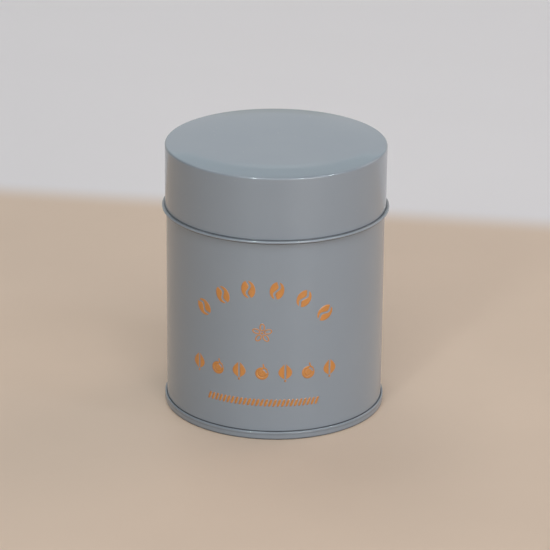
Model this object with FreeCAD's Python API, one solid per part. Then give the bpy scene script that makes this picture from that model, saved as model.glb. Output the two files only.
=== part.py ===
"""Slip-lid coffee tin of bent and pressed tinplate, in millimetres.

+Z is up, and the origin is the centre of the ring that the tin stands on. -Y is the printed front,
and the welded side seam of the body is at +Y. Every pressed piece is a sheet of constant thickness
turned about the Z axis, drawn as the middle line of the sheet with its bends.
"""

import FreeCAD
import Part

import math
import os

# Driving dimensions of the body
BODY_DIAMETER = 91.0  # outside of the body wall
BODY_HEIGHT = 112.88  # standing plane to the top of the mouth curl
BODY_SHEET = 0.25
MOUTH_CURL = 1.8  # outside diameter of the inward curl at the mouth
WELD_WIDTH = 1.2  # lap of the side seam
WELD_RISE = 0.05  # how far the lap stands proud of the wall, inside and outside

# Driving dimensions of the bottom end and the double seam that holds it
END_SHEET = 0.25
SEAM_HEIGHT = 3.4
SEAM_FIT = 0.03  # film of compound between neighbouring layers of the seam
SEAM_FOOT_BEND = 0.43  # middle-line bend at the outer lower corner of the seam
CHUCK_FOOT_BEND = 0.3  # and at the inner lower corner
HOOK_SHARE = 0.82  # how far up the seam the body hook reaches
COMPOUND_THICKNESS = 0.12
PANEL_DEPTH = 0.45  # end panel's underside above the top of the seam
PANEL_STEP = 0.5  # rise of the stiffening step
PANEL_STEP_INSET = 11.0  # chuck wall to the stiffening step
PANEL_BEND = 1.0

# Driving dimensions of the lid
LID_SHEET = 0.27
LID_FIT = 0.23  # radial gap between the body wall and the lid skirt
LID_SKIRT = 27.85  # shoulder of the lid to the bottom of its rim curl
LID_CURL = 1.53  # outside diameter of the outward curl on the rim
LID_CORNER = 0.8  # outside radius between crown and skirt
CROWN_BAND = 17.0  # width of the sloping band round the flat of the crown
CROWN_SLOPE = 5.0  # degrees, where the band meets the shoulder

# Driving dimensions of the inner lid, its knob and the rivet
INNER_SHEET = 0.22
INNER_FIT = 0.2  # radial gap between the mouth curl and the wall of the pan
HEM_LAP = 1.0
HEM_FIT = 0.04  # between the two layers of the hem
HEM_INSET = 0.4  # outer edge of the hem, in from the body's outside
PAN_BEND = 0.8
PAN_STEP = 0.6  # rise of the stiffening step in the pan
PAN_STEP_INSET = 9.0  # wall of the pan to the stiffening step
KNOB_DIAMETER = 15.0
KNOB_NECK = 9.0
KNOB_HEIGHT = 7.2
KNOB_HEAD = 3.4  # height of the knob's head
KNOB_SHEET = 0.5
KNOB_BEND = 0.9
KNOB_HEADROOM = 1.2  # knob to the underside of the crown
RIVET_DIAMETER = 3.0
RIVET_FIT = 0.1  # radial gap round the rivet's shank
RIVET_HEAD = 5.2
RIVET_HEAD_HEIGHT = 0.9
WASHER_DIAMETER = 9.0
WASHER_THICKNESS = 0.4

# Gaps between loose pieces at rest, and between a curl's raw edge and the wall that it curls from
SEAT_GAP = 0.1
EDGE_GAP = 0.05
STACK_GAP = 0.02  # between the riveted layers

# How the middle lines are drawn
CURL_STEP = 75  # largest turn of a curl between two corners of its path, in degrees
TOUCHING = 1e-6  # points closer than this are one point

# Radii and heights that follow from them
BODY_OUTSIDE = BODY_DIAMETER / 2
BODY_INSIDE = BODY_OUTSIDE - BODY_SHEET
WALL_MIDDLE = BODY_OUTSIDE - BODY_SHEET / 2
CHUCK_MIDDLE = BODY_INSIDE - SEAM_FIT - END_SHEET / 2
COVER_HOOK_MIDDLE = BODY_OUTSIDE + SEAM_FIT + END_SHEET / 2
BODY_HOOK_MIDDLE = BODY_OUTSIDE + 2 * SEAM_FIT + END_SHEET + BODY_SHEET / 2
COUNTERSINK = SEAM_HEIGHT + PANEL_DEPTH
SEAM_PANEL_MIDDLE = BODY_OUTSIDE + 3 * SEAM_FIT + 1.5 * END_SHEET + BODY_SHEET
BODY_HOOK_BEND = (BODY_HOOK_MIDDLE - WALL_MIDDLE) / 2
COVER_HOOK_BEND = (SEAM_PANEL_MIDDLE - COVER_HOOK_MIDDLE) / 2
FLANGE_MIDDLE = END_SHEET + COMPOUND_THICKNESS + BODY_SHEET / 2

LID_INSIDE = BODY_OUTSIDE + LID_FIT
LID_OUTSIDE = LID_INSIDE + LID_SHEET
SKIRT_MIDDLE = LID_OUTSIDE - LID_SHEET / 2

HEM_DROP = INNER_SHEET + HEM_FIT
HEM_MIDDLE = BODY_HEIGHT + SEAT_GAP + INNER_SHEET / 2
FLANGE_TOP_MIDDLE = HEM_MIDDLE + HEM_DROP
PAN_WALL_MIDDLE = BODY_OUTSIDE - MOUTH_CURL - INNER_FIT - INNER_SHEET / 2
HEM_EDGE_MIDDLE = BODY_OUTSIDE - HEM_INSET - INNER_SHEET / 2


def bent_sheet(path, thickness):
    """Solid of a sheet turned about Z. path lists (radius, height, bend) along its middle line.

    bend is the middle-line radius of the corner at that point, and 0 at the two ends.
    """
    points = [FreeCAD.Vector(radius, 0, height) for radius, height, _ in path]
    headings = [(b - a).normalize() for a, b in zip(points, points[1:])]
    normals = [FreeCAD.Vector(-h.z, 0, h.x) for h in headings]

    def side(offset):
        edges = []
        last = points[0] + normals[0] * offset
        for i in range(1, len(points) - 1):
            bisector = (normals[i - 1] + normals[i]).normalize()
            half_turn = headings[i - 1].getAngle(headings[i]) / 2
            tangent = path[i][2] * math.tan(half_turn)
            sagitta = path[i][2] * (1 / math.cos(half_turn) - 1)
            inwards = (headings[i] - headings[i - 1]).normalize()
            start = points[i] - headings[i - 1] * tangent + normals[i - 1] * offset
            middle = points[i] + inwards * sagitta + bisector * offset
            end = points[i] + headings[i] * tangent + normals[i] * offset
            if last.distanceToPoint(start) > TOUCHING:
                edges.append(Part.LineSegment(last, start).toShape())
            edges.append(Part.Arc(start, middle, end).toShape())
            last = end
        end = points[-1] + normals[-1] * offset
        if last.distanceToPoint(end) > TOUCHING:
            edges.append(Part.LineSegment(last, end).toShape())
        return edges

    left = side(thickness / 2)
    right = side(-thickness / 2)
    caps = [
        Part.LineSegment(points[k] + normals[k] * thickness / 2, points[k] - normals[k] * thickness / 2)
        for k in (0, -1)
    ]
    edges = Part.__sortEdges__(left + right + [cap.toShape() for cap in caps])
    return turned(Part.Face(Part.Wire(edges)))


def turned(face, degrees=360.0):
    """Solid of a face in the XZ plane, turned about Z."""
    solid = face.revolve(FreeCAD.Vector(0, 0, 0), FreeCAD.Vector(0, 0, 1), degrees)
    return solid.Solids[0] if solid.Solids else Part.Solid(solid)


def ring(inside, outside, low, high, degrees=360.0):
    """Solid ring of rectangular section, or the sector of it that starts at +X."""
    corners = [(inside, low), (outside, low), (outside, high), (inside, high), (inside, low)]
    wire = Part.makePolygon([FreeCAD.Vector(radius, 0, height) for radius, height in corners])
    return turned(Part.Face(wire), degrees)


def curl(centre_radius, centre_height, bend, start, turn):
    """Path corners of a curl about a centre, from the angle start through turn, in degrees.

    Each corner lies outside the curl's circle, where the tangents meet, and the raw edge lies on it.
    """
    steps = math.ceil(turn / CURL_STEP)
    half = math.radians(turn / steps / 2)
    stops = [(math.radians(start) + (2 * k + 1) * half, bend / math.cos(half), bend) for k in range(steps)]
    stops.append((math.radians(start + turn), bend, 0))
    return [
        (centre_radius + reach * math.cos(angle), centre_height + reach * math.sin(angle), corner_bend)
        for angle, reach, corner_bend in stops
    ]


def body_wall():
    """Wall with its body hook at the foot, the inward curl at the mouth and the welded side seam."""
    bend = (MOUTH_CURL - BODY_SHEET) / 2
    centre = WALL_MIDDLE - bend
    centre_height = BODY_HEIGHT - MOUTH_CURL / 2
    raw_edge = math.degrees(math.acos((BODY_INSIDE - EDGE_GAP - centre) / (MOUTH_CURL / 2)))
    path = [
        (BODY_HOOK_MIDDLE, SEAM_HEIGHT * HOOK_SHARE, 0),
        (BODY_HOOK_MIDDLE, FLANGE_MIDDLE, BODY_HOOK_BEND),
        (WALL_MIDDLE, FLANGE_MIDDLE, BODY_HOOK_BEND),
        *curl(centre, centre_height, bend, 0, 360 - raw_edge),
    ]
    wall = bent_sheet(path, BODY_SHEET)
    spread = math.degrees(WELD_WIDTH / BODY_OUTSIDE)
    lap = ring(
        BODY_INSIDE - WELD_RISE,
        BODY_OUTSIDE + WELD_RISE,
        COUNTERSINK + END_SHEET,
        BODY_HEIGHT - MOUTH_CURL - 2 * SEAT_GAP,
        spread,
    )
    lap.rotate(FreeCAD.Vector(0, 0, 0), FreeCAD.Vector(0, 0, 1), 90 - spread / 2)
    return wall.fuse(lap).removeSplitter()


def bottom_end():
    """Pressed end: stepped panel, chuck wall, foot of the seam, seaming panel and cover hook."""
    panel = COUNTERSINK + END_SHEET / 2
    step = CHUCK_MIDDLE - PANEL_STEP_INSET
    seam_top = SEAM_HEIGHT - END_SHEET / 2
    hook_end = FLANGE_MIDDLE + BODY_SHEET / 2 + BODY_HOOK_BEND
    path = [
        (0, panel + PANEL_STEP, 0),
        (step - PANEL_STEP, panel + PANEL_STEP, PANEL_BEND),
        (step, panel, PANEL_BEND),
        (CHUCK_MIDDLE, panel, PANEL_BEND),
        (CHUCK_MIDDLE, END_SHEET / 2, CHUCK_FOOT_BEND),
        (SEAM_PANEL_MIDDLE, END_SHEET / 2, SEAM_FOOT_BEND),
        (SEAM_PANEL_MIDDLE, seam_top, COVER_HOOK_BEND),
        (COVER_HOOK_MIDDLE, seam_top, COVER_HOOK_BEND),
        (COVER_HOOK_MIDDLE, hook_end, 0),
    ]
    return bent_sheet(path, END_SHEET)


def seam_compound():
    """Bead of sealing compound under the body hook, on the flat of the end between its two bends."""
    return ring(
        CHUCK_MIDDLE + CHUCK_FOOT_BEND,
        SEAM_PANEL_MIDDLE - SEAM_FOOT_BEND,
        END_SHEET + STACK_GAP / 2,
        END_SHEET + COMPOUND_THICKNESS - STACK_GAP / 2,
    )


def crown_corner():
    """Middle line of the lid at its shoulder: the height where the crown's slope meets the skirt."""
    slope = math.radians(CROWN_SLOPE)
    half_sheet = LID_SHEET / 2 / math.cos(slope)
    underside_drop = (SKIRT_MIDDLE - HEM_EDGE_MIDDLE) * math.tan(slope)
    return FLANGE_TOP_MIDDLE + INNER_SHEET / 2 + SEAT_GAP + half_sheet - underside_drop


def crown_top():
    """Middle line of the lid over its flat centre."""
    return crown_corner() + CROWN_BAND / 2 * math.tan(math.radians(CROWN_SLOPE))


def lid():
    """Drawn cap: flat crown, sloping band, shoulder, skirt and the outward curl on its rim."""
    half_slope = math.radians(CROWN_SLOPE) / 2
    band_bend = (CROWN_BAND / 2 - LID_CORNER) / math.tan(half_slope)
    bend = (LID_CURL - LID_SHEET) / 2
    centre = SKIRT_MIDDLE + bend
    shoulder = crown_corner() + LID_SHEET / 2
    centre_height = shoulder - LID_SKIRT + LID_CURL / 2
    raw_edge = math.degrees(math.acos((centre - LID_OUTSIDE - EDGE_GAP) / (LID_CURL / 2)))
    path = [
        (0, crown_top(), 0),
        (SKIRT_MIDDLE - CROWN_BAND / 2, crown_top(), band_bend),
        (SKIRT_MIDDLE, crown_corner(), LID_CORNER - LID_SHEET / 2),
        *curl(centre, centre_height, bend, 180, 360 - raw_edge),
    ]
    return bent_sheet(path, LID_SHEET)


def pan_floor():
    """Middle line of the pan's stepped centre, where the knob stands."""
    crown_underside = crown_top() - LID_SHEET / 2
    return crown_underside - KNOB_HEADROOM - KNOB_HEIGHT - STACK_GAP - INNER_SHEET / 2


def inner_lid_pan():
    """Plug lid: stepped floor with the rivet hole, wall, flange and the hem that sits on the mouth curl."""
    step = PAN_WALL_MIDDLE - PAN_STEP_INSET
    outer_floor = pan_floor() - PAN_STEP
    hem_bend = HEM_DROP / 2
    path = [
        (RIVET_DIAMETER / 2 + RIVET_FIT, pan_floor(), 0),
        (step - PAN_STEP, pan_floor(), PAN_BEND),
        (step, outer_floor, PAN_BEND),
        (PAN_WALL_MIDDLE, outer_floor, PAN_BEND),
        (PAN_WALL_MIDDLE, FLANGE_TOP_MIDDLE, INNER_SHEET),
        (HEM_EDGE_MIDDLE, FLANGE_TOP_MIDDLE, hem_bend),
        (HEM_EDGE_MIDDLE, HEM_MIDDLE, hem_bend),
        (HEM_EDGE_MIDDLE - HEM_LAP, HEM_MIDDLE, 0),
    ]
    return bent_sheet(path, INNER_SHEET)


def knob_foot():
    """Underside of the knob, on the pan's floor."""
    return pan_floor() + INNER_SHEET / 2 + STACK_GAP


def knob_shell():
    """Hollow pressed knob: domed head, narrower neck and a foot with the rivet hole."""
    foot = knob_foot() + KNOB_SHEET / 2
    top = knob_foot() + KNOB_HEIGHT - KNOB_SHEET / 2
    head = KNOB_DIAMETER / 2 - KNOB_SHEET / 2
    neck = KNOB_NECK / 2 - KNOB_SHEET / 2
    path = [
        (0, top, 0),
        (head, top, KNOB_BEND),
        (head, top - KNOB_HEAD + KNOB_SHEET, KNOB_BEND),
        (neck, top - KNOB_HEAD + KNOB_SHEET, KNOB_BEND),
        (neck, foot, KNOB_BEND),
        (RIVET_DIAMETER / 2 + RIVET_FIT, foot, 0),
    ]
    return bent_sheet(path, KNOB_SHEET)


def knob_washer():
    """Washer under the pan, which spreads the rivet's load."""
    top = pan_floor() - INNER_SHEET / 2 - STACK_GAP
    return ring(RIVET_DIAMETER / 2 + RIVET_FIT, WASHER_DIAMETER / 2, top - WASHER_THICKNESS, top)


def knob_rivet():
    """Rivet with its head inside the knob and its closed tail under the washer."""
    head_low = knob_foot() + KNOB_SHEET + STACK_GAP
    tail_high = pan_floor() - INNER_SHEET / 2 - 2 * STACK_GAP - WASHER_THICKNESS
    shank = RIVET_DIAMETER / 2
    outline = [
        (0, tail_high - RIVET_HEAD_HEIGHT),
        (shank, tail_high - RIVET_HEAD_HEIGHT),
        (RIVET_HEAD / 2, tail_high),
        (shank, tail_high),
        (shank, head_low),
        (RIVET_HEAD / 2, head_low),
        (RIVET_HEAD / 2, head_low + RIVET_HEAD_HEIGHT / 2),
        (shank, head_low + RIVET_HEAD_HEIGHT),
        (0, head_low + RIVET_HEAD_HEIGHT),
        (0, tail_high - RIVET_HEAD_HEIGHT),
    ]
    wire = Part.makePolygon([FreeCAD.Vector(radius, 0, height) for radius, height in outline])
    return turned(Part.Face(wire))


PIECES = [
    body_wall,
    bottom_end,
    seam_compound,
    lid,
    inner_lid_pan,
    knob_shell,
    knob_washer,
    knob_rivet,
]

os.makedirs("parts", exist_ok=True)
for piece in PIECES:
    shape = piece()
    if not shape.isValid() or len(shape.Solids) != 1:
        raise ValueError(f"{piece.__name__} isn't one valid solid")
    shape.exportStep(f"parts/{piece.__name__}.step")
    box = shape.optimalBoundingBox(True, False)
    print(f"{piece.__name__:14s} radius {box.XMax:.2f}, height {box.ZMin:.2f} to {box.ZMax:.2f} mm")
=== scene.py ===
"""Slip-lid coffee tin: enamelled outside, bare tinplate inside, with a motif printed on the front.

Metres, with +Z up. The printed front faces -Y, and the side seam is at +Y.
"""

import math

import bpy
from mathutils import Matrix, Vector, noise


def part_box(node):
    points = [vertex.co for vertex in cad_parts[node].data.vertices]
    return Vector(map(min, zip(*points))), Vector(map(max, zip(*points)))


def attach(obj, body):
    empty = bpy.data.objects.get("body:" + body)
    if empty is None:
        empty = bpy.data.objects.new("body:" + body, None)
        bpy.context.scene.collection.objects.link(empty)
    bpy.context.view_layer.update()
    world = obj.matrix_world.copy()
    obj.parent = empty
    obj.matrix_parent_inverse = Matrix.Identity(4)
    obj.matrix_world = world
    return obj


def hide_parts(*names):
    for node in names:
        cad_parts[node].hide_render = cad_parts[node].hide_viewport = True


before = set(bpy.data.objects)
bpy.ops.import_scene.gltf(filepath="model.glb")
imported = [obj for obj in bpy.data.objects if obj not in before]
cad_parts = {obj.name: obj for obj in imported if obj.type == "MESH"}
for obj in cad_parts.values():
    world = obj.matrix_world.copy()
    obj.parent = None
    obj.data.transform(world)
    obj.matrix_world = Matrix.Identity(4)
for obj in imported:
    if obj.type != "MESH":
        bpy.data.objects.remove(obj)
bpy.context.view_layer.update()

MM = 0.001
LEFT, RIGHT, EDGE = "left", "right", "edge"

# Sheets, bends and gaps of the pieces
WALL_SHEET = 0.25 * MM
MOUTH_CURL = 1.8 * MM
WELD_WIDTH = 1.2 * MM
WELD_RISE = 0.05 * MM
WELD_RAMP = 0.15 * MM
SEAM_HEIGHT = 3.4 * MM
SEAM_FIT = 0.03 * MM
SEAM_FOOT_BEND = 0.43 * MM
CHUCK_FOOT_BEND = 0.3 * MM
HOOK_SHARE = 0.82
PANEL_STEP = 0.5 * MM
PANEL_STEP_INSET = 11.0 * MM
PANEL_BEND = 1.0 * MM
LID_SHEET = 0.27 * MM
LID_FIT = 0.23 * MM
LID_CURL = 1.53 * MM
LID_CORNER = 0.8 * MM
CROWN_BAND = 17.0 * MM
CROWN_SLOPE = math.radians(5.0)
PAN_SHEET = 0.22 * MM
PAN_FIT = 0.2 * MM
HEM_LAP = 1.0 * MM
HEM_FIT = 0.04 * MM
PAN_BEND = 0.8 * MM
PAN_STEP = 0.6 * MM
PAN_STEP_INSET = 9.0 * MM
KNOB_SHEET = 0.5 * MM
KNOB_NECK = 4.5 * MM  # radius
KNOB_HEAD = 3.4 * MM
KNOB_BEND = 0.9 * MM
RIVET_HOLE = 1.6 * MM  # radius
EDGE_GAP = 0.05 * MM

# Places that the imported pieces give
WALL_LOW, WALL_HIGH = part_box("body_wall")
_, END_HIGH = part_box("bottom_end")
LID_LOW, LID_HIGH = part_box("lid")
PAN_LOW, PAN_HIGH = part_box("inner_lid_pan")
KNOB_LOW, KNOB_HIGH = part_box("knob_shell")

LID_RADIUS = LID_HIGH.x - LID_CURL + LID_SHEET
BODY_RADIUS = LID_RADIUS - LID_SHEET - LID_FIT
SKIRT_MIDDLE = LID_RADIUS - LID_SHEET / 2
WALL_MIDDLE = BODY_RADIUS - WALL_SHEET / 2
CHUCK_MIDDLE = WALL_MIDDLE - WALL_SHEET - SEAM_FIT

# How finely pieces are turned and drawn
SECTORS = 240
LAP_CLEARANCE = 0.3  # of a sector
ARC_STEP = math.radians(12)
RUN_STEP = 3.0 * MM
CURL_STEP = 75
SHARP = math.radians(40)
ROUNDING = 1e-6  # numbers closer than this are equal

# Unevenness of the sheet, which fades out beside the stiff edges
FLUTES = ((5, 1.0), (11, 0.8), (17, 0.55), (29, 0.3))  # (waves round the tin, relative depth)
FLUTE_DEPTH = 0.008 * MM
WALL_PHASE = 0.9
SKIRT_PHASE = 2.3
WALL_FADE = 12.0 * MM  # below the lid's rim
SKIRT_FADE = (8.0 * MM, 2.0 * MM)  # below the crown, from where to where
CROWN_DENT = 0.05 * MM
CROWN_WAVE = 22.0 * MM
CROWN_FADE = (14.0 * MM, 6.0 * MM)  # in from the skirt, from where to where

# Printed motif, placed round the front of the wall
INK_RISE = 0.02 * MM
INK_THICKNESS = 0.03 * MM
ARCH_CENTRE = 30.8 * MM
ARCH_RADIUS = 35.3 * MM
ARCH_HALF_ANGLE = math.radians(48)
ARCH_BEANS = 6
BEAN_LENGTH = 7.6 * MM
BEAN_WIDTH = 5.9 * MM
BEAN_FURROW = 1.0 * MM
BEAN_FURROW_SWAY = 1.1 * MM
BEAN_COLUMNS = 6
BLOSSOM_HEIGHT = 46.9 * MM
PETAL_LENGTH = 3.5 * MM
PETAL_WIDTH = 2.3 * MM
PETAL_LINE = 0.5 * MM
PETAL_START = 0.8 * MM
PETAL_STEPS = 24
PETALS = 5
BLOSSOM_HEART = 0.5 * MM
HEART_STEPS = 16
ROW_HEIGHT = 30.1 * MM
ROW_PITCH = 9.6 * MM
ROW_MARKS = 7
LEAF_LENGTH = 7.1 * MM
LEAF_WIDTH = 5.6 * MM
LEAF_RIB = 0.75 * MM
LEAF_STALK = 1.0 * MM
LEAF_TIP = 0.02 * MM
LEAF_BELLY = 0.28  # how much fuller the leaf is below its middle
LEAF_COLUMNS = 5
STALK_STEPS = 3
MARK_ROWS = 18
CHERRY_RADIUS = 2.75 * MM
CHERRY_CORE = 0.58 * CHERRY_RADIUS
CHERRY_RIND = 0.84 * CHERRY_RADIUS
CHERRY_DROP = 0.9 * MM
CRESCENT = (12, 78)  # degrees clockwise from upright
CHERRY_STALK = 1.9 * MM
CHERRY_STALK_WIDTH = 0.6 * MM
CHERRY_STALK_ARC = (180, 262)
CHERRY_STALK_TURN = 0.25
CHERRY_STALK_SINK = 1.1 * CHERRY_DROP
ROUND_STEPS = 24
BEND_STEPS = 8
ROPE_PLACE = 16.2 * MM
ROPE_LENGTH = 46.2 * MM
ROPE_BARS = 27
ROPE_BAR = 1.2 * MM
ROPE_HEIGHT = 3.2 * MM
ROPE_LEAN = 0.55 * MM
ROPE_TAPER = 0.35
ROPE_STEPS = 6

# Colours and finishes
ENAMEL_COLOUR = (0.256, 0.301, 0.355, 1.0)
# The wall's enamel darkened a little: painted shade on the bottom end and its seam
SHADED_END_COLOUR = (0.240, 0.281, 0.331, 1.0)
ENAMEL_ROUGHNESS = 0.36
COAT_WEIGHT = 0.7
COAT_ROUGHNESS = 0.05
ENAMEL_IOR = 1.5
PEEL_DEPTH = 0.0025 * MM
GRAIN_DEPTH = 0.003 * MM
INK_COLOUR = (0.59, 0.235, 0.045, 1.0)
INK_ROUGHNESS = 0.38
TIN_COLOUR = (0.62, 0.62, 0.60, 1.0)
KNOB_COLOUR = (0.66, 0.66, 0.65, 1.0)
RIVET_COLOUR = (0.55, 0.55, 0.55, 1.0)
COMPOUND_COLOUR = (0.18, 0.155, 0.11, 1.0)
COMPOUND_ROUGHNESS = 0.7
RUBBER_PEEL = 0.02 * MM
DUST_COLOUR = (0.62, 0.61, 0.58, 1.0)
# Tint of the dark bands below, most of them painted shade
DARK_BAND_TINT = (0.035, 0.036, 0.036)

# Textures. Sizes are cells of noise in a metre, and ranges are (low, high).
COAT_CLOUDS = 45.0
COAT_CLOUD_DEPTH = 0.03
COAT_GLOSS_CHANGE = 0.05
COAT_PEEL = 900.0
COAT_SMEARS = 0.45  # of the clouds' size
SPECKS = 700.0
SPECK_EDGE = (0.10, 0.16)
SPECK_GROUPS = 260.0
SPECK_CHANCE = (0.66, 0.70)
DUST_SETTLES = (-0.2, 0.9)  # upward part of a face's normal
DUST_ON_WALLS = 0.12
DUST_PATCHES = 30.0
DUST_PATCH_EDGE = (0.35, 0.75)
DUST_FILM = 0.10
DUST_MATTING = 0.3
BAND_BREAKS = 320.0
BAND_BREAK_EDGE = (0.35, 0.65)
GRAIN_LINES = 2400.0
GRAIN_BANDS = 260.0
GRAIN_LINE_SHARE = 0.6
GRAIN_UPRIGHT = 0.02  # share of its height that the upright grain keeps
GRAIN_RINGED = 0.3
GRAIN_RANGE = (0.3, 0.7)
GRAIN_TONE = (0.9, 1.06)
GRAIN_GLOSS = 0.06
GROUND_CLOUDS = 14.0
GROUND_CLOUD_RANGE = (0.3, 0.7)
GROUND_CLOUD_TONE = (0.985, 1.015)

# Dark bands, most of them painted shade in creases and under the rolled rims, as (low, high, fade,
# broken, tint and strength)
SKIRT_FOOT = LID_LOW.z + LID_CURL
LID_SHADE_BANDS = [
    # Painted shade in the crease above the lid's outward curl
    (SKIRT_FOOT - 0.05 * MM, SKIRT_FOOT + 0.15 * MM, 0.2 * MM, 0.2, (*DARK_BAND_TINT, 0.7)),
    # Painted shade on the underside of the lid's curl
    (LID_LOW.z - 0.1 * MM, LID_LOW.z + 0.4 * MM, 0.3 * MM, 0.1, (*DARK_BAND_TINT, 0.95)),
]
WALL_SHADE_BANDS = [
    # Painted shade in the crease where the wall meets the seam
    (SEAM_HEIGHT - 0.6 * MM, SEAM_HEIGHT + 0.2 * MM, 0.25 * MM, 0.15, (*DARK_BAND_TINT, 0.9)),
    # Painted shade on the wall just under the lid's curl
    (LID_LOW.z - 0.2 * MM, LID_LOW.z + 0.3 * MM, 0.3 * MM, 0.5, (*DARK_BAND_TINT, 0.38)),
]
END_BANDS = [
    # Painted shade along the foot, where the tin meets the ground
    (0.0, 0.45 * MM, 0.3 * MM, 0.2, (*DARK_BAND_TINT, 0.7)),
    # A darker band partway up the seam's face
    (2.2 * MM, 2.5 * MM, 0.3 * MM, 0.3, (*DARK_BAND_TINT, 0.3)),
]

# Camera and staging, with angles in degrees
AIM = Vector((0.0, 0.0, 0.055))
VIEW_TURN = 6.3
VIEW_RISE = 21.02
VIEW_DISTANCE = 1.1855
VIEW_ROLL = 0.53
SENSOR = 36.0
VIEW_LENS = 184.66
GROUND_SIZE = 8.0
GROUND_COLOUR = (0.765, 0.603, 0.475, 1.0)
GROUND_ROUGHNESS = 0.55
GROUND_SHEEN = 0.3
BACKDROP_COLOUR = (0.873, 0.845, 0.863, 1.0)
BACKDROP_START = 0.222
BACKDROP_BLUR = 0.032
BACKDROP_SLANT = 0.16
AIR_COLOUR = (1.0, 1.0, 1.0)
AIR_STRENGTH = 0.216
LAMP_DISTANCE = 2.5

# (name, azimuth, elevation, width, height, watts, colour)
LIGHTS = [
    ("front_low", 30, 9, 1.3, 0.55, 18.1, (1.0, 0.98, 0.97)),
    ("front_high", 0, 58, 1.3, 1.2, 16.2, (0.98, 0.99, 1.0)),
    ("window_left", -24, 30, 0.22, 0.5, 6.0, (0.9, 1.0, 1.0)),
    ("window_right", 61, 45, 0.22, 0.5, 3.1, (0.75, 0.85, 1.0)),
    ("side_right", 120, 32, 1.3, 1.2, 9.6, (1.0, 0.89, 0.81)),
    ("back_left", -150, 58, 1.3, 1.2, 8.9, (1.0, 1.0, 0.98)),
    ("back_low", 180, 7.5, 3.6, 0.45, 1.55, (0.97, 1.0, 0.85)),
    ("back_middle", 180, 17.5, 3.6, 0.45, 2.8, (0.92, 0.95, 1.0)),
    ("back_high", 180, 28, 3.6, 0.5, 2.75, (0.65, 0.93, 1.0)),
]

# Narrow lamps without diffuse light, which show only as glints on the bends
GLINTS = [
    ("glint_left", -24, 35, 0.10, 1.2, 29.0, (0.84, 0.96, 1.0)),
    ("glint_middle", 28, 35, 0.10, 1.2, 15.0, (0.84, 0.96, 1.0)),
    ("glint_right", 67, 38, 0.14, 0.6, 17.0, (0.84, 0.96, 1.0)),
]


def bent_sheet(path, thickness):
    """Closed outline of a sheet's section as (radius, height, side of the stretch that follows).

    path lists (radius, height, bend) along the middle line, with no bend at its two ends.
    """
    points = [Vector((radius, height)) for radius, height, _ in path]
    headings = [(b - a).normalized() for a, b in zip(points, points[1:])]
    line = [(points[0], headings[0].orthogonal())]
    for (_, _, bend), point, before, after in zip(path[1:], points[1:], headings, headings[1:]):
        turn = math.atan2(before.cross(after), before.dot(after))
        bow = bend if turn > 0 else -bend
        normal = before.orthogonal()
        centre = point - before * bend * math.tan(abs(turn) / 2) + normal * bow
        steps = max(2, math.ceil(abs(turn) / ARC_STEP))
        for k in range(steps + 1):
            leaning = Matrix.Rotation(turn * k / steps, 2) @ normal
            line.append((centre - leaning * bow, leaning))
    line.append((points[-1], headings[-1].orthogonal()))

    filled = [line[0]]
    for (start, _), (end, normal) in zip(line, line[1:]):
        runs = math.ceil((end - start).length / RUN_STEP - ROUNDING)
        filled += [(start.lerp(end, k / runs), normal) for k in range(1, runs + 1)]
    left = [(point + normal * thickness / 2, LEFT) for point, normal in filled]
    right = [(point - normal * thickness / 2, RIGHT) for point, normal in reversed(filled)]
    left[-1] = (left[-1][0], EDGE)
    right[-1] = (right[-1][0], EDGE)
    return [(max(point.x, 0.0), point.y, side) for point, side in left + right]


def curl(centre_radius, centre_height, bend, start, turn):
    """Path corners of a curl about a centre, from the angle start through turn, in degrees."""
    steps = math.ceil(turn / CURL_STEP)
    half = math.radians(turn / steps / 2)
    corner = bend / math.cos(half)
    stops = [(math.radians(start) + (2 * k + 1) * half, corner, bend) for k in range(steps)]
    stops.append((math.radians(start + turn), bend, 0))
    return [
        (centre_radius + reach * math.cos(angle), centre_height + reach * math.sin(angle), corner_bend)
        for angle, reach, corner_bend in stops
    ]


def wall_outline():
    """Section of the body wall, from its hook in the seam to its curl at the mouth."""
    bend = (MOUTH_CURL - WALL_SHEET) / 2
    centre = WALL_MIDDLE - bend
    raw_edge = math.degrees(math.acos((bend - WALL_SHEET / 2 - EDGE_GAP) / (MOUTH_CURL / 2)))
    hook = WALL_HIGH.x - WALL_SHEET / 2
    foot = WALL_LOW.z + WALL_SHEET / 2
    path = [
        (hook, SEAM_HEIGHT * HOOK_SHARE, 0),
        (hook, foot, (hook - WALL_MIDDLE) / 2),
        (WALL_MIDDLE, foot, (hook - WALL_MIDDLE) / 2),
        *curl(centre, WALL_HIGH.z - MOUTH_CURL / 2, bend, 0, 360 - raw_edge),
    ]
    return bent_sheet(path, WALL_SHEET)


def end_outline():
    """Section of the bottom end: stepped panel, chuck wall, foot, seaming panel and cover hook."""
    panel = END_HIGH.z - PANEL_STEP - WALL_SHEET / 2
    step = CHUCK_MIDDLE - PANEL_STEP_INSET
    seam_middle = END_HIGH.x - WALL_SHEET / 2
    cover_hook = BODY_RADIUS + SEAM_FIT + WALL_SHEET / 2
    seam_top = SEAM_HEIGHT - WALL_SHEET / 2
    hook_bend = (seam_middle - cover_hook) / 2
    path = [
        (0, panel + PANEL_STEP, 0),
        (step - PANEL_STEP, panel + PANEL_STEP, PANEL_BEND),
        (step, panel, PANEL_BEND),
        (CHUCK_MIDDLE, panel, PANEL_BEND),
        (CHUCK_MIDDLE, WALL_SHEET / 2, CHUCK_FOOT_BEND),
        (seam_middle, WALL_SHEET / 2, SEAM_FOOT_BEND),
        (seam_middle, seam_top, hook_bend),
        (cover_hook, seam_top, hook_bend),
        (cover_hook, WALL_LOW.z + WALL_SHEET + hook_bend, 0),
    ]
    return bent_sheet(path, WALL_SHEET)


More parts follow.
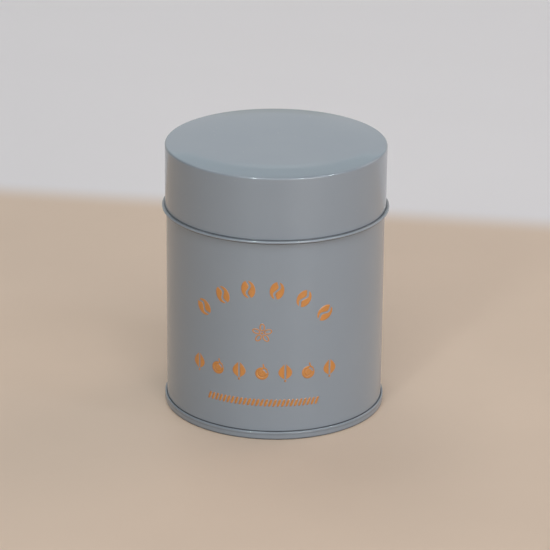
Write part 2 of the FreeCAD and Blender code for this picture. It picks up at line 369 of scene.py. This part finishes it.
def lid_outline():
    """Section of the lid: flat crown, sloping band, shoulder, skirt and the outward curl."""
    crown_middle = LID_HIGH.z - LID_SHEET / 2
    shoulder = crown_middle - CROWN_BAND / 2 * math.tan(CROWN_SLOPE)
    band_bend = (CROWN_BAND / 2 - LID_CORNER) / math.tan(CROWN_SLOPE / 2)
    bend = (LID_CURL - LID_SHEET) / 2
    gap_angle = math.degrees(math.acos((bend - LID_SHEET / 2 - EDGE_GAP) / (LID_CURL / 2)))
    path = [
        (0, crown_middle, 0),
        (SKIRT_MIDDLE - CROWN_BAND / 2, crown_middle, band_bend),
        (SKIRT_MIDDLE, shoulder, LID_CORNER - LID_SHEET / 2),
        *curl(SKIRT_MIDDLE + bend, LID_LOW.z + LID_CURL / 2, bend, 180, 360 - gap_angle),
    ]
    return bent_sheet(path, LID_SHEET)


def pan_outline():
    """Section of the inner lid: floor with its step, wall, flange and hem."""
    low_floor = PAN_LOW.z + PAN_SHEET / 2
    wall = BODY_RADIUS - MOUTH_CURL - PAN_FIT - PAN_SHEET / 2
    step = wall - PAN_STEP_INSET
    flange = PAN_HIGH.z - PAN_SHEET / 2
    rim = PAN_HIGH.x - PAN_SHEET / 2
    hem_drop = PAN_SHEET + HEM_FIT
    path = [
        (RIVET_HOLE, low_floor + PAN_STEP, 0),
        (step - PAN_STEP, low_floor + PAN_STEP, PAN_BEND),
        (step, low_floor, PAN_BEND),
        (wall, low_floor, PAN_BEND),
        (wall, flange, PAN_SHEET),
        (rim, flange, hem_drop / 2),
        (rim, flange - hem_drop, hem_drop / 2),
        (rim - HEM_LAP, flange - hem_drop, 0),
    ]
    return bent_sheet(path, PAN_SHEET)


def knob_outline():
    """Section of the hollow knob: domed head, neck and foot."""
    top = KNOB_HIGH.z - KNOB_SHEET / 2
    head = KNOB_HIGH.x - KNOB_SHEET / 2
    neck = KNOB_NECK - KNOB_SHEET / 2
    throat = top - KNOB_HEAD + KNOB_SHEET
    foot = KNOB_LOW.z + KNOB_SHEET / 2
    path = [
        (0, top, 0),
        (head, top, KNOB_BEND),
        (head, throat, KNOB_BEND),
        (neck, throat, KNOB_BEND),
        (neck, foot, KNOB_BEND),
        (RIVET_HOLE, foot, 0),
    ]
    return bent_sheet(path, KNOB_SHEET)


def ease(value, low, high):
    """0 below low and 1 above high, with a smooth rise between them."""
    t = min(max((value - low) / (high - low), 0.0), 1.0)
    return t * t * (3 - 2 * t)


def flutes(angle, phase):
    """Faint upright flats that rolling leaves round a thin wall."""
    return sum(depth * math.sin(count * (angle + phase)) for count, depth in FLUTES)


def wall_shift(angle, radius, height):
    """Flutes of the body wall, and its lapped side seam at the back."""
    free = ease(height, SEAM_HEIGHT, 4 * SEAM_HEIGHT)
    free *= 1 - ease(height, LID_LOW.z - WALL_FADE, LID_LOW.z)
    outward = FLUTE_DEPTH * free * flutes(angle, WALL_PHASE)
    along = abs(angle - math.pi / 2) * BODY_RADIUS
    lap = 1 - ease(along, WELD_WIDTH / 2 - WELD_RAMP, WELD_WIDTH / 2)
    if END_HIGH.z < height < WALL_HIGH.z - MOUTH_CURL:
        outward += WELD_RISE * lap * (1 if radius > WALL_MIDDLE else -1)
    return outward, 0.0


def lid_shift(angle, radius, height):
    """Flutes of the skirt, and the crown's slight unevenness."""
    on_skirt = ease(radius, LID_RADIUS - 2 * LID_SHEET, LID_RADIUS - LID_SHEET)
    free = on_skirt * ease(height, LID_LOW.z + LID_CURL, LID_LOW.z + 6 * LID_CURL)
    free *= 1 - ease(height, LID_HIGH.z - SKIRT_FADE[0], LID_HIGH.z - SKIRT_FADE[1])
    spot = Vector((radius * math.cos(angle), radius * math.sin(angle), 0)) / CROWN_WAVE
    on_crown = 1 - ease(radius, LID_RADIUS - CROWN_FADE[0], LID_RADIUS - CROWN_FADE[1])
    dent = CROWN_DENT * on_crown * (1 + noise.noise(spot)) / 2
    return FLUTE_DEPTH * free * flutes(angle, SKIRT_PHASE), -dent


def no_shift(angle, radius, height):
    return 0.0, 0.0


def turn_about_z(name, outline, materials, slot_of, shift=no_shift, angles=None):
    """Piece made by turning a closed outline about Z. slot_of(side, height) picks the material."""
    angles = angles or [2 * math.pi * k / SECTORS for k in range(SECTORS)]
    vertices, rings = [], []
    for radius, height, _ in outline:
        around = angles if radius > ROUNDING else angles[:1]
        rings.append(range(len(vertices), len(vertices) + len(around)))
        for angle in around:
            outward, upward = shift(angle, radius, height)
            reach = max(radius + outward, 0.0) if radius > ROUNDING else 0.0
            vertices.append((reach * math.cos(angle), reach * math.sin(angle), height + upward))
    faces, slots = [], []
    for ring, following, (_, height, side) in zip(rings, rings[1:] + rings[:1], outline):
        if len(ring) == len(following) == 1:
            continue
        for j in range(len(angles)):
            around = [(ring, j), (following, j), (following, j + 1), (ring, j + 1)]
            faces.append(list(dict.fromkeys(loop[k % len(loop)] for loop, k in around)))
            slots.append(slot_of(side, height))
    return finished_mesh(name, vertices, faces, materials, slots)


def finished_mesh(name, vertices, faces, materials, slots):
    """Object of a mesh with smooth faces and sharp raw edges."""
    mesh = bpy.data.meshes.new(name)
    mesh.from_pydata(vertices, [], faces)
    for material in materials:
        mesh.materials.append(material)
    mesh.polygons.foreach_set("material_index", slots)
    mesh.shade_smooth()
    mesh.set_sharp_from_angle(angle=SHARP)
    mesh.validate()
    piece = bpy.data.objects.new(name, mesh)
    bpy.context.scene.collection.objects.link(piece)
    return piece


# Printed motif. Its patches are grids of (along, height) points, along being measured round the wall.


def between(left, right, columns):
    """Patch between two lines of points, from left to right."""
    shares = [k / columns for k in range(columns + 1)]
    return [
        [(a[0] + (b[0] - a[0]) * share, a[1] + (b[1] - a[1]) * share) for share in shares]
        for a, b in zip(left, right)
    ]


def placed(patch, along, height, turn=0.0, size=1.0):
    """Patch turned clockwise, scaled and moved to its place."""
    c, s = math.cos(turn) * size, math.sin(turn) * size
    return [[(along + x * c + y * s, height - x * s + y * c) for x, y in row] for row in patch]


def rows(count):
    """Parameters from -1 to 1, closer together at the ends."""
    return [-math.cos(math.pi * k / count) for k in range(count + 1)]


def bean():
    """Coffee bean as two halves with a wavy furrow between them."""
    halves = []
    for side in (-1, 1):
        rim, furrow = [], []
        for t in rows(MARK_ROWS):
            bulge = side * BEAN_WIDTH / 2 * math.sqrt(max(0.0, 1 - t * t))
            middle = BEAN_FURROW_SWAY * math.sin(math.pi * t) * (1 - t * t) + side * BEAN_FURROW / 2
            meeting = middle if side * (bulge - middle) > 0 else bulge
            rim.append((bulge, t * BEAN_LENGTH / 2))
            furrow.append((meeting, t * BEAN_LENGTH / 2))
        left, right = (rim, furrow) if side < 0 else (furrow, rim)
        halves.append(between(left, right, BEAN_COLUMNS))
    return halves


def leaf():
    """Upright leaf with an open midrib and a short stalk."""
    halves = []
    for side in (-1, 1):
        rim, rib = [], []
        for t in rows(MARK_ROWS):
            taper = (1 - t * t) * (1 - LEAF_BELLY * t)
            rim.append((side * max(LEAF_WIDTH / 2 * taper, LEAF_TIP), t * LEAF_LENGTH / 2))
            rib.append((side * min(LEAF_RIB / 2, LEAF_WIDTH / 2 * taper), t * LEAF_LENGTH / 2))
        left, right = (rim, rib) if side < 0 else (rib, rim)
        halves.append(between(left, right, LEAF_COLUMNS))
    foot = -LEAF_LENGTH / 2 - LEAF_STALK
    heights = [foot + LEAF_STALK * k / STALK_STEPS for k in range(STALK_STEPS + 1)]
    left, right = ([(side * LEAF_RIB / 2, height) for height in heights] for side in (-1, 1))
    return halves + [between(left, right, 1)]


def arc_band(inside, outside, start, end, steps):
    """Patch between two radii about the origin, from one angle to another, clockwise from upright."""
    stops = [math.radians(start + (end - start) * k / steps) for k in range(steps + 1)]
    inner = [(inside * math.sin(a), inside * math.cos(a)) for a in stops]
    outer = [(outside * math.sin(a), outside * math.cos(a)) for a in stops]
    return between(inner, outer, 3)


def cherry():
    """Coffee cherry: a round fruit with a crescent of light, on a bent stalk."""
    core = arc_band(0.0, CHERRY_CORE, 0, 360, ROUND_STEPS)
    flesh = arc_band(CHERRY_CORE, CHERRY_RADIUS, CRESCENT[1], 360 + CRESCENT[0], ROUND_STEPS)
    rind = arc_band(CHERRY_RIND, CHERRY_RADIUS, *CRESCENT, BEND_STEPS)
    stalk = arc_band(CHERRY_STALK, CHERRY_STALK + CHERRY_STALK_WIDTH, *CHERRY_STALK_ARC, BEND_STEPS)
    stalk = placed(stalk, CHERRY_STALK, CHERRY_RADIUS + CHERRY_STALK - CHERRY_STALK_SINK)
    fruit = [placed(patch, 0, -CHERRY_DROP) for patch in (core, flesh, rind)]
    return fruit + [placed(stalk, 0, 0, CHERRY_STALK_TURN)]


def blossom():
    """Five-petalled coffee flower in thin outline."""
    half_width, half_length = PETAL_WIDTH / 2, PETAL_LENGTH / 2
    inner, outer = [], []
    for k in range(PETAL_STEPS + 1):
        a = 2 * math.pi * k / PETAL_STEPS
        across, out = math.sin(a), -math.cos(a)
        inner.append((across * (half_width - PETAL_LINE), out * (half_length - PETAL_LINE)))
        outer.append((across * half_width, out * half_length))
    petal = placed(between(inner, outer, 1), 0, half_length + PETAL_START)
    petals = [placed(petal, 0, 0, 2 * math.pi * k / PETALS) for k in range(PETALS)]
    return petals + [arc_band(0.0, BLOSSOM_HEART, 0, 360, HEART_STEPS)]


def slanted_bar():
    """One strand of the rope band under the motif."""
    left, right = [], []
    for k in range(ROPE_STEPS + 1):
        t = 2 * k / ROPE_STEPS - 1
        lean = ROPE_LEAN * t
        half = ROPE_BAR / 2 * (1 - ROPE_TAPER * t * t)
        left.append((lean - half, t * ROPE_HEIGHT / 2))
        right.append((lean + half, t * ROPE_HEIGHT / 2))
    return [between(left, right, 2)]


def printed(name, patches, material):
    """Film of ink that follows the body wall, a little proud of it."""
    vertices, faces = [], []
    for patch in patches:
        first, width = len(vertices), len(patch[0])
        for row in patch:
            for along, height in row:
                angle = along / BODY_RADIUS - math.pi / 2
                outward, _ = wall_shift(angle, BODY_RADIUS, height)
                reach = BODY_RADIUS + outward + INK_RISE
                vertices.append((reach * math.cos(angle), reach * math.sin(angle), height))
        for r in range(len(patch) - 1):
            for c in range(width - 1):
                a = first + r * width + c
                faces.append((a, a + 1, a + 1 + width, a + width))
    film = finished_mesh(name, vertices, faces, [material], [0] * len(faces))
    if film.data.polygons[0].normal.y > 0:
        film.data.flip_normals()
    body = film.modifiers.new("film_body", "SOLIDIFY")
    body.thickness = INK_THICKNESS
    body.offset = -1
    return film


# Materials


def put(tree, kind, inputs=None, **settings):
    """Node with its settings made and its inputs linked or set."""
    node = tree.nodes.new(kind)
    for key, value in settings.items():
        setattr(node, key, value)
    for socket, value in (inputs or {}).items():
        if isinstance(value, bpy.types.NodeSocket):
            tree.links.new(value, node.inputs[socket])
        else:
            node.inputs[socket].default_value = value
    return node


def math_node(tree, operation, first, second=0.0):
    return put(tree, "ShaderNodeMath", {0: first, 1: second}, operation=operation).outputs[0]


def times(tree, first, second):
    return math_node(tree, "MULTIPLY", first, second)


def plus(tree, first, second):
    return math_node(tree, "ADD", first, second)


def minus(tree, first, second):
    return math_node(tree, "SUBTRACT", first, second)


def spread(tree, value, low, high, to_low=0.0, to_high=1.0, **settings):
    """Value mapped from one range to another, and clamped."""
    inputs = {"Value": value, "From Min": low, "From Max": high, "To Min": to_low, "To Max": to_high}
    return put(tree, "ShaderNodeMapRange", inputs, **settings).outputs["Result"]


def blend_colours(tree, factor, first, second):
    return put(tree, "ShaderNodeMix", {0: factor, 6: first, 7: second}, data_type="RGBA").outputs[2]


def blend_vectors(tree, factor, first, second):
    return put(tree, "ShaderNodeMix", {0: factor, 4: first, 5: second}, data_type="VECTOR").outputs[1]


def effect(name, inputs, outputs):
    """Shader node group with named number inputs and outputs, and a function that closes it."""
    tree = bpy.data.node_groups.new(name, "ShaderNodeTree")
    for label, value in inputs.items():
        socket = tree.interface.new_socket(label, in_out="INPUT", socket_type="NodeSocketFloat")
        socket.default_value = value
    for label in outputs:
        tree.interface.new_socket(label, in_out="OUTPUT", socket_type="NodeSocketFloat")
    given = tree.nodes.new("NodeGroupInput").outputs
    taken = tree.nodes.new("NodeGroupOutput").inputs

    def close(**results):
        for label, value in results.items():
            tree.links.new(value, taken[label.replace("_", " ")])
        return tree

    return tree, given, close


def place_of(tree):
    return put(tree, "ShaderNodeTexCoord").outputs["Object"]


def noise_of(tree, where, scale, detail=2.0, roughness=0.5):
    inputs = {"Vector": where, "Scale": scale, "Detail": detail, "Roughness": roughness}
    return put(tree, "ShaderNodeTexNoise", inputs).outputs["Fac"]


def sprayed_coat():
    """Cloudy tone, patches of gloss and the fine peel of a sprayed and baked coat."""
    tree, given, close = effect(
        "sprayed_coat",
        {
            "Cloud Size": COAT_CLOUDS,
            "Cloud Depth": COAT_CLOUD_DEPTH,
            "Gloss Change": COAT_GLOSS_CHANGE,
            "Peel Size": COAT_PEEL,
        },
        ["Tone", "Gloss", "Height"],
    )
    where = place_of(tree)
    cloud = noise_of(tree, where, given["Cloud Size"], detail=3.0)
    smear_size = times(tree, given["Cloud Size"], COAT_SMEARS)
    smear = noise_of(tree, where, smear_size, detail=4.0, roughness=0.6)
    peel = noise_of(tree, where, given["Peel Size"], detail=1.0)
    swing = times(tree, minus(tree, cloud, 0.5), given["Cloud Depth"])
    gloss = times(tree, minus(tree, smear, 0.5), given["Gloss Change"])
    return close(Tone=plus(tree, swing, 1.0), Gloss=gloss, Height=peel)


def settled_dust():
    """Sparse specks and a thin film of dust, mostly on faces that look up."""
    inputs = {"Amount": 0.5, "Speck Size": SPECKS}
    tree, given, close = effect("settled_dust", inputs, ["Specks", "Film"])
    where = place_of(tree)
    cells = put(tree, "ShaderNodeTexVoronoi", {"Vector": where, "Scale": given["Speck Size"]})
    near = spread(tree, cells.outputs["Distance"], *SPECK_EDGE, 1.0, 0.0)
    picked = spread(tree, noise_of(tree, where, SPECK_GROUPS, detail=1.0), *SPECK_CHANCE)
    normal = put(tree, "ShaderNodeNewGeometry").outputs["Normal"]
    upward = put(tree, "ShaderNodeSeparateXYZ", {0: normal}).outputs["Z"]
    facing = spread(tree, upward, *DUST_SETTLES, DUST_ON_WALLS, 1.0)
    amount = times(tree, facing, given["Amount"])
    patches = spread(tree, noise_of(tree, where, DUST_PATCHES, detail=4.0), *DUST_PATCH_EDGE)
    specks = times(tree, times(tree, near, picked), amount)
    return close(Specks=specks, Film=times(tree, patches, amount))


def height_band():
    """Mask of a level band round the tin, broken up along its length."""
    inputs = {"Low": 0.0, "High": 0.01, "Fade": 0.0005, "Broken": 0.5}
    tree, given, close = effect("height_band", inputs, ["Mask"])
    where = place_of(tree)
    height = put(tree, "ShaderNodeSeparateXYZ", {0: where}).outputs["Z"]
    low, high, fade = given["Low"], given["High"], given["Fade"]
    above = spread(tree, height, minus(tree, low, fade), low)
    below = spread(tree, height, high, plus(tree, high, fade), 1.0, 0.0)
    patchy = spread(tree, noise_of(tree, where, BAND_BREAKS, detail=3.0), *BAND_BREAK_EDGE)
    kept = minus(tree, 1.0, times(tree, given["Broken"], patchy))
    return close(Mask=times(tree, times(tree, above, below), kept))


def rolled_grain():
    """Fine lines that the rolling mill leaves in tinplate, upright or in rings."""
    tree, given, close = effect("rolled_grain", {"Ringed": 0.0, "Fineness": 1.0}, ["Tone", "Height"])
    x, y, z = put(tree, "ShaderNodeSeparateXYZ", {0: place_of(tree)}).outputs
    reach = math_node(tree, "SQRT", plus(tree, times(tree, x, x), times(tree, y, y)))
    upright = {0: x, 1: y, 2: times(tree, z, GRAIN_UPRIGHT)}
    ringed = {0: reach, 1: times(tree, z, GRAIN_RINGED)}
    places = [put(tree, "ShaderNodeCombineXYZ", parts).outputs[0] for parts in (upright, ringed)]
    where = blend_vectors(tree, given["Ringed"], *places)
    line_size = times(tree, given["Fineness"], GRAIN_LINES)
    band_size = times(tree, given["Fineness"], GRAIN_BANDS)
    lines = noise_of(tree, where, line_size, detail=3.0, roughness=0.7)
    bands = noise_of(tree, where, band_size, detail=2.0)
    lines_part = times(tree, lines, GRAIN_LINE_SHARE)
    bands_part = times(tree, bands, 1 - GRAIN_LINE_SHARE)
    return close(Tone=plus(tree, lines_part, bands_part), Height=lines)


EFFECTS = {tree.name: tree for tree in (sprayed_coat(), settled_dust(), height_band(), rolled_grain())}


def use(tree, name, **values):
    """An effect placed in a material with its own values."""
    inputs = {label.replace("_", " "): value for label, value in values.items()}
    node = tree.nodes.new("ShaderNodeGroup")
    node.node_tree = EFFECTS[name]
    for label, value in inputs.items():
        node.inputs[label].default_value = value
    return node.outputs


def new_material(name):
    material = bpy.data.materials.new(name)
    material.use_nodes = True
    tree = material.node_tree
    tree.nodes.clear()
    shader = tree.nodes.new("ShaderNodeBsdfPrincipled")
    output = tree.nodes.new("ShaderNodeOutputMaterial")
    tree.links.new(shader.outputs[0], output.inputs[0])
    return material, tree, shader


def raised(tree, shader, height, distance):
    """Bump of a height between 0 and 1 on the shader's surface."""
    bump = put(tree, "ShaderNodeBump", {"Height": height, "Distance": distance, "Strength": 1.0})
    tree.links.new(bump.outputs[0], shader.inputs["Normal"])


def scaled_colour(tree, colour, tone):
    """A colour made lighter or darker by a tone near 1."""
    node = put(tree, "ShaderNodeVectorMath", {0: colour[:3]}, operation="SCALE")
    tree.links.new(tone, node.inputs["Scale"])
    return node.outputs[0]


def enamel(name, colour, bands, dust):
    """Semi-gloss enamel, with dust and with its dark bands, most of them painted shade in creases."""
    material, tree, shader = new_material(name)
    coat = use(tree, "sprayed_coat")
    shade = scaled_colour(tree, colour, coat["Tone"])
    for low, high, fade, broken, tint in bands:
        mask = use(tree, "height_band", Low=low, High=high, Fade=fade, Broken=broken)["Mask"]
        shade = blend_colours(tree, times(tree, mask, tint[3]), shade, (*tint[:3], 1.0))
    settled = use(tree, "settled_dust", Amount=dust)
    dusty = plus(tree, times(tree, settled["Film"], DUST_FILM), settled["Specks"])
    shade = blend_colours(tree, dusty, shade, DUST_COLOUR)
    tree.links.new(shade, shader.inputs["Base Color"])
    rough = plus(tree, coat["Gloss"], ENAMEL_ROUGHNESS)
    matted = plus(tree, rough, times(tree, dusty, DUST_MATTING))
    tree.links.new(matted, shader.inputs["Roughness"])
    shader.inputs["IOR"].default_value = ENAMEL_IOR
    shader.inputs["Coat Roughness"].default_value = COAT_ROUGHNESS
    shader.inputs["Coat Weight"].default_value = COAT_WEIGHT
    raised(tree, shader, coat["Height"], PEEL_DEPTH)
    return material


def tinplate(name, colour, roughness, ringed, fineness=1.0):
    """Bare tin-coated steel with its rolled grain."""
    material, tree, shader = new_material(name)
    grain = use(tree, "rolled_grain", Ringed=ringed, Fineness=fineness)
    coat = use(tree, "sprayed_coat", Cloud_Depth=0.12, Gloss_Change=0.14, Cloud_Size=60.0)
    tone = times(tree, coat["Tone"], spread(tree, grain["Tone"], *GRAIN_RANGE, *GRAIN_TONE))
    settled = use(tree, "settled_dust", Amount=0.25)
    shade = blend_colours(tree, settled["Specks"], scaled_colour(tree, colour, tone), DUST_COLOUR)
    tree.links.new(shade, shader.inputs["Base Color"])
    shader.inputs["Metallic"].default_value = 1.0
    glossy, matt = roughness - GRAIN_GLOSS, roughness + GRAIN_GLOSS
    rough = spread(tree, grain["Tone"], *GRAIN_RANGE, glossy, matt)
    tree.links.new(plus(tree, rough, coat["Gloss"]), shader.inputs["Roughness"])
    raised(tree, shader, grain["Height"], GRAIN_DEPTH)
    return material


def rubber_lining():
    """Matt sealing compound with a coarse skin."""
    material, tree, shader = new_material("compound_rubber")
    coat = use(tree, "sprayed_coat", Cloud_Size=300.0, Cloud_Depth=0.2, Peel_Size=2500.0)
    tree.links.new(scaled_colour(tree, COMPOUND_COLOUR, coat["Tone"]), shader.inputs["Base Color"])
    tree.links.new(plus(tree, coat["Gloss"], COMPOUND_ROUGHNESS), shader.inputs["Roughness"])
    raised(tree, shader, coat["Height"], RUBBER_PEEL)
    return material


def screen_ink():
    """Printing ink with the slight unevenness of its film and a few pinholes."""
    material, tree, shader = new_material("print_ink")
    film = {"Cloud_Size": 420.0, "Cloud_Depth": 0.16, "Gloss_Change": 0.1, "Peel_Size": 2200.0}
    coat = use(tree, "sprayed_coat", **film)
    pinholes = use(tree, "settled_dust", Amount=0.5, Speck_Size=1600.0)["Specks"]
    shade = scaled_colour(tree, INK_COLOUR, coat["Tone"])
    tree.links.new(blend_colours(tree, pinholes, shade, ENAMEL_COLOUR), shader.inputs["Base Color"])
    tree.links.new(plus(tree, coat["Gloss"], INK_ROUGHNESS), shader.inputs["Roughness"])
    shader.inputs["Coat Roughness"].default_value = COAT_ROUGHNESS
    shader.inputs["Coat Weight"].default_value = COAT_WEIGHT
    raised(tree, shader, coat["Height"], PEEL_DEPTH)
    return material


def pale_ground():
    """Warm pale top that gives way to a grey backdrop behind the tin."""
    material, tree, shader = new_material("pale_ground")
    where = place_of(tree)
    x, y, _ = put(tree, "ShaderNodeSeparateXYZ", {0: where}).outputs
    depth = plus(tree, y, times(tree, x, BACKDROP_SLANT))
    end = BACKDROP_START + BACKDROP_BLUR
    behind = spread(tree, depth, BACKDROP_START, end, interpolation_type="SMOOTHSTEP")
    cloud = noise_of(tree, where, GROUND_CLOUDS, detail=3.0)
    tone = spread(tree, cloud, *GROUND_CLOUD_RANGE, *GROUND_CLOUD_TONE)
    top = scaled_colour(tree, GROUND_COLOUR, tone)
    tree.links.new(blend_colours(tree, behind, top, BACKDROP_COLOUR), shader.inputs["Base Color"])
    shader.inputs["Roughness"].default_value = GROUND_ROUGHNESS
    shader.inputs["Specular IOR Level"].default_value = GROUND_SHEEN
    return material


# Pieces

LID_ENAMEL = enamel("enamel_lid", ENAMEL_COLOUR, LID_SHADE_BANDS, dust=0.7)
WALL_ENAMEL = enamel("enamel_wall", ENAMEL_COLOUR, WALL_SHADE_BANDS, dust=0.4)
END_ENAMEL = enamel("enamel_end", SHADED_END_COLOUR, END_BANDS, dust=0.4)
INSIDE_TIN = tinplate("inside_tinplate", TIN_COLOUR, roughness=0.30, ringed=0.0)
PRESSED_TIN = tinplate("pressed_tinplate", TIN_COLOUR, roughness=0.26, ringed=0.0, fineness=0.7)
KNOB_METAL = tinplate("knob_metal", KNOB_COLOUR, roughness=0.20, ringed=1.0)
RIVET_METAL = tinplate("rivet_metal", RIVET_COLOUR, roughness=0.34, ringed=1.0, fineness=1.6)
RUBBER = rubber_lining()
INK = screen_ink()


def one_finish(side, height):
    return 0


def bare_inside(side, height):
    """Enamel outside, and bare tinplate on the side that faces the contents."""
    return 1 if side == LEFT else 0


def bare_under_lid(side, height):
    """Enamel on the crown, the skirt and the whole of the rolled rim, and bare tinplate inside."""
    return 1 if side == RIGHT and height > LID_LOW.z + LID_CURL else 0


def add_wall():
    """Wall with even sectors, apart from narrow ones at its side seam."""
    offsets = (0.0, WELD_WIDTH / 2 - WELD_RAMP, WELD_WIDTH / 2 - WELD_RAMP / 2, WELD_WIDTH / 2)
    back = math.pi / 2
    lap = sorted({back + sign * along / BODY_RADIUS for along in offsets for sign in (-1, 1)})
    even = [2 * math.pi * (k + 0.5) / SECTORS for k in range(SECTORS)]
    clear = LAP_CLEARANCE * 2 * math.pi / SECTORS
    angles = sorted([a for a in even if min(abs(a - b) for b in lap) > clear] + lap)
    materials = [WALL_ENAMEL, INSIDE_TIN]
    wall = turn_about_z("tin_wall", wall_outline(), materials, bare_inside, wall_shift, angles)
    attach(wall, "tin")
    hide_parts("body_wall")


def add_end():
    end = turn_about_z("tin_end", end_outline(), [END_ENAMEL, INSIDE_TIN], bare_inside)
    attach(end, "tin")
    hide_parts("bottom_end")


def add_lid():
    cap = turn_about_z("lid_cap", lid_outline(), [LID_ENAMEL, INSIDE_TIN], bare_under_lid, lid_shift)
    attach(cap, "lid")
    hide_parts("lid")


def add_inner_lid():
    pan = turn_about_z("inner_lid", pan_outline(), [PRESSED_TIN], one_finish)
    knob = turn_about_z("inner_lid_knob", knob_outline(), [KNOB_METAL], one_finish)
    for piece, node, slot in ((pan, "inner_lid_pan", "tinplate"), (knob, "knob_shell", "knob_metal")):
        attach(piece, "inner_lid")
        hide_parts(node)


def finish_small_parts():
    """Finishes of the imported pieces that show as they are."""
    finishes = {"knob_rivet": RIVET_METAL, "knob_washer": RIVET_METAL, "seam_compound": RUBBER}
    for node, material in finishes.items():
        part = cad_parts[node]
        part.data.materials.clear()
        part.data.materials.append(material)


def add_print():
    """Arch of beans, a flower, a row of leaves and cherries, and a rope band."""
    arch = []
    for k in range(ARCH_BEANS):
        angle = ARCH_HALF_ANGLE * (2 * k / (ARCH_BEANS - 1) - 1)
        along, height = ARCH_RADIUS * math.sin(angle), ARCH_CENTRE + ARCH_RADIUS * math.cos(angle)
        arch += [placed(patch, along, height, angle) for patch in bean()]
    row = []
    for k in range(ROW_MARKS):
        mark = cherry() if k % 2 else leaf()
        row += [placed(patch, ROW_PITCH * (k - (ROW_MARKS - 1) / 2), ROW_HEIGHT) for patch in mark]
    rope = []
    for k in range(ROPE_BARS):
        along = ROPE_LENGTH * (k / (ROPE_BARS - 1) - 0.5)
        rope += [placed(patch, along, ROPE_PLACE) for patch in slanted_bar()]
    flower = [placed(patch, 0, BLOSSOM_HEIGHT) for patch in blossom()]
    marks = {
        "print_bean_arch": arch,
        "print_blossom": flower,
        "print_leaf_row": row,
        "print_rope_band": rope,
    }
    for name, patches in marks.items():
        film = printed(name, patches, INK)
        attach(film, "tin")


def direction(azimuth, elevation):
    """Unit vector from the tin, azimuth measured to the right from behind the camera."""
    a, e = math.radians(azimuth + VIEW_TURN), math.radians(elevation)
    return Vector((math.sin(a) * math.cos(e), -math.cos(a) * math.cos(e), math.sin(e)))


def add_ground():
    """Flat ground whose X and Y axes are turned with the view."""
    half = GROUND_SIZE / 2
    corners = [(-half, -half, 0), (half, -half, 0), (half, half, 0), (-half, half, 0)]
    ground = finished_mesh("ground", corners, [(0, 1, 2, 3)], [pale_ground()], [0])
    ground.rotation_euler.z = math.radians(VIEW_TURN)


def add_lights():
    for name, azimuth, elevation, width, height, watts, colour in LIGHTS + GLINTS:
        lamp = bpy.data.lights.new(name, "AREA")
        lamp.shape = "RECTANGLE"
        lamp.size, lamp.size_y = width, height
        lamp.energy = watts
        lamp.color = colour
        holder = bpy.data.objects.new(name, lamp)
        towards = direction(azimuth, elevation)
        holder.location = AIM + towards * LAMP_DISTANCE
        holder.rotation_euler = towards.to_track_quat("Z", "Y").to_euler()
        holder.visible_camera = False
        holder.visible_diffuse = not name.startswith("glint")
        bpy.context.scene.collection.objects.link(holder)


def add_surroundings():
    world = bpy.data.worlds.new("studio_air")
    bpy.context.scene.world = world
    world.use_nodes = True
    air = world.node_tree.nodes["Background"]
    air.inputs["Color"].default_value = (*AIR_COLOUR, 1.0)
    air.inputs["Strength"].default_value = AIR_STRENGTH


def add_camera():
    lens = bpy.data.cameras.new("view")
    lens.sensor_width = SENSOR
    lens.lens = VIEW_LENS
    camera = bpy.data.objects.new("view", lens)
    back = direction(0.0, VIEW_RISE)
    camera.location = AIM + back * VIEW_DISTANCE
    facing = (-back).to_track_quat("-Z", "Y").to_matrix()
    roll = Matrix.Rotation(math.radians(VIEW_ROLL), 3, "Z")
    camera.rotation_euler = (facing @ roll).to_euler()
    bpy.context.scene.collection.objects.link(camera)
    bpy.context.scene.camera = camera


add_wall()
add_end()
add_lid()
add_inner_lid()
finish_small_parts()
add_print()
add_ground()
add_lights()
add_surroundings()
add_camera()
bpy.context.scene.view_settings.view_transform = "Standard"
